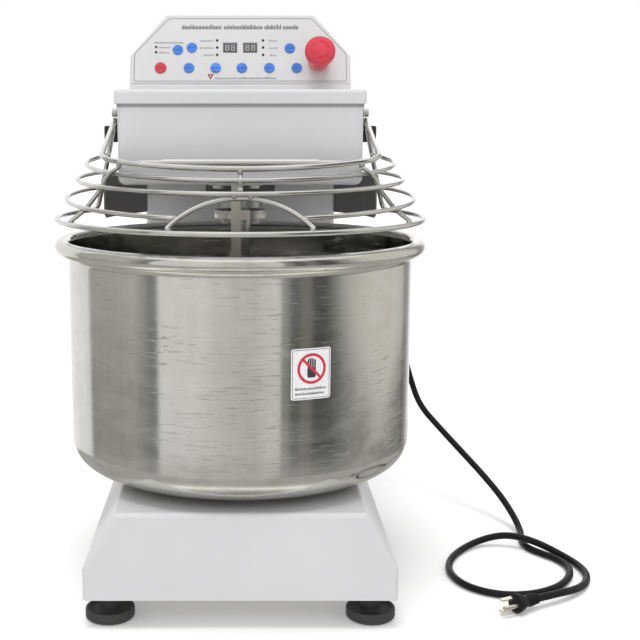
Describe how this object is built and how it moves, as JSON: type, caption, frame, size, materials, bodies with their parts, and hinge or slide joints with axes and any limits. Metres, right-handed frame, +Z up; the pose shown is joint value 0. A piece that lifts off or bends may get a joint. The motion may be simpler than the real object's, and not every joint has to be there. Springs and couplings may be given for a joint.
{
  "type": "spiral dough mixer",
  "caption": "Free-standing spiral dough mixer: turning steel bowl, spiral hook, fixed breaker bar, hinged wire guard, key panel with stop button, mains lead.",
  "frame": {"origin": "on the floor under the middle of the machine's plan outline, without the mains lead", "axes": "+X to the user's right as they face the panel, +Y to the back, +Z up"},
  "size_m": [0.6326, 0.7014, 0.66],
  "materials": {
    "white_paint": "glossy powder coat",
    "stainless": "brushed and lightly scratched",
    "wire_steel": "polished wire",
    "dark_steel": "satin",
    "zinc_steel": "zinc plated",
    "shield_paint": "semi-matt",
    "black_plastic": "moulded",
    "rubber": "matt",
    "cord_jacket": "satin",
    "label_face": "satin film",
    "display": "dark window",
    "led": "tinted",
    "board": "laminate",
    "red_plastic": "moulded",
    "blue_plastic": "moulded",
    "grey_plastic": "moulded",
    "cast_metal": "cast",
    "bearing_steel": "ground",
    "brass": "satin"
  },
  "bodies": {
    "frame": {"base_shell": "white_paint", "base_chassis": "zinc_steel", "column_shell": "white_paint", "rear_cover": "white_paint", "rear_cover_screws": "zinc_steel", "head_shell": "white_paint", "head_cover": "white_paint", "panel_housing": "white_paint", "panel_label": "label_face", "displays": "display", "indicator_leds": "led", "control_board": "board", "estop_collar": "red_plastic", "bowl_bearing_housing": "cast_metal", "shaft_bearings": "bearing_steel", "bowl_chain": "dark_steel", "drive_bearing_block": "cast_metal", "gearbox_housing": "cast_metal", "motor_housing": "cast_metal", "hook_chain": "dark_steel", "under_plate": "shield_paint", "head_bolts": "zinc_steel", "spindle_housing": "zinc_steel", "breaker_bar": "stainless", "hinge_pins": "zinc_steel", "guard_stops": "black_plastic", "side_shields": "shield_paint", "feet": "rubber", "foot_studs": "zinc_steel", "cord_gland": "black_plastic", "strain_relief": "rubber", "cord": "cord_jacket", "plug_body": "cord_jacket", "plug_blades": "brass"},
    "bowl": {"bowl": "stainless", "bowl_shaft": "bearing_steel"},
    "hook": {"spindle": "zinc_steel", "spiral_hook": "stainless", "flange_bolts": "zinc_steel"},
    "drive": {"drive_shaft": "bearing_steel"},
    "rotor": {"motor_rotor": "bearing_steel"},
    "guard": {"guard_low_ring": "wire_steel", "guard_ring_2": "wire_steel", "guard_ring_3": "wire_steel", "guard_ring_4": "wire_steel", "guard_top_wire": "wire_steel", "guard_cross_bar": "wire_steel", "guard_ribs": "wire_steel", "guard_hinge_plates": "dark_steel"},
    "estop_slider": {"estop_sleeve": "grey_plastic"},
    "estop_button": {"estop_head": "red_plastic"},
    "key_red": {"key_red": "red_plastic"},
    "key_blue_1": {"key_blue_1": "blue_plastic"},
    "key_blue_2": {"key_blue_2": "blue_plastic"},
    "key_blue_3": {"key_blue_3": "blue_plastic"},
    "key_blue_4": {"key_blue_4": "blue_plastic"},
    "key_blue_5": {"key_blue_5": "blue_plastic"},
    "key_blue_6": {"key_blue_6": "blue_plastic"},
    "key_blue_7": {"key_blue_7": "blue_plastic"},
    "key_blue_8": {"key_blue_8": "blue_plastic"}
  },
  "joints": [
    {"name": "bowl_spin", "type": "hinge", "parent": "frame", "child": "bowl", "pos_m": [0, -0.13525, 0.27], "axis": [0, 0, 1], "continuous": true},
    {"name": "hook_spin", "type": "hinge", "parent": "frame", "child": "hook", "pos_m": [0, -0.03825, 0.4], "axis": [0, 0, 1], "continuous": true},
    {"name": "drive_spin", "type": "hinge", "parent": "frame", "child": "drive", "pos_m": [0, 0.16475, 0.3], "axis": [0, 0, 1], "continuous": true},
    {"name": "motor_spin", "type": "hinge", "parent": "frame", "child": "rotor", "pos_m": [0, 0.26475, 0.3], "axis": [0, 0, 1], "continuous": true},
    {"name": "guard_hinge", "type": "hinge", "parent": "frame", "child": "guard", "pos_m": [0, -0.06025, 0.547], "axis": [-1, 0, 0], "range_deg": [0, 90]},
    {"name": "estop_push", "type": "slide", "parent": "frame", "child": "estop_slider", "axis": [0, 0.9205, -0.3907], "range_m": [0, 0.004]},
    {"name": "estop_twist", "type": "hinge", "parent": "estop_slider", "child": "estop_button", "pos_m": [0.0915, -0.10314, 0.60454], "axis": [0, 0.9205, -0.3907], "range_deg": [0, 45], "stiffness_Nm_per_rad": 0.05},
    {"name": "key_red_push", "type": "slide", "parent": "frame", "child": "key_red", "axis": [0, 0.9205, -0.3907], "range_m": [0, 0.0008], "stiffness_N_per_m": 600},
    {"name": "key_blue_1_push", "type": "slide", "parent": "frame", "child": "key_blue_1", "axis": [0, 0.9205, -0.3907], "range_m": [0, 0.0008], "stiffness_N_per_m": 600},
    {"name": "key_blue_2_push", "type": "slide", "parent": "frame", "child": "key_blue_2", "axis": [0, 0.9205, -0.3907], "range_m": [0, 0.0008], "stiffness_N_per_m": 600},
    {"name": "key_blue_3_push", "type": "slide", "parent": "frame", "child": "key_blue_3", "axis": [0, 0.9205, -0.3907], "range_m": [0, 0.0008], "stiffness_N_per_m": 600},
    {"name": "key_blue_4_push", "type": "slide", "parent": "frame", "child": "key_blue_4", "axis": [0, 0.9205, -0.3907], "range_m": [0, 0.0008], "stiffness_N_per_m": 600},
    {"name": "key_blue_5_push", "type": "slide", "parent": "frame", "child": "key_blue_5", "axis": [0, 0.9205, -0.3907], "range_m": [0, 0.0008], "stiffness_N_per_m": 600},
    {"name": "key_blue_6_push", "type": "slide", "parent": "frame", "child": "key_blue_6", "axis": [0, 0.9205, -0.3907], "range_m": [0, 0.0008], "stiffness_N_per_m": 600},
    {"name": "key_blue_7_push", "type": "slide", "parent": "frame", "child": "key_blue_7", "axis": [0, 0.9205, -0.3907], "range_m": [0, 0.0008], "stiffness_N_per_m": 600},
    {"name": "key_blue_8_push", "type": "slide", "parent": "frame", "child": "key_blue_8", "axis": [0, 0.9205, -0.3907], "range_m": [0, 0.0008], "stiffness_N_per_m": 600}
  ],
  "couplings": [
    {"joint": "hook_spin", "follows": "bowl_spin", "ratio": 10},
    {"joint": "drive_spin", "follows": "bowl_spin", "ratio": 5},
    {"joint": "motor_spin", "follows": "bowl_spin", "ratio": 100}
  ]
}
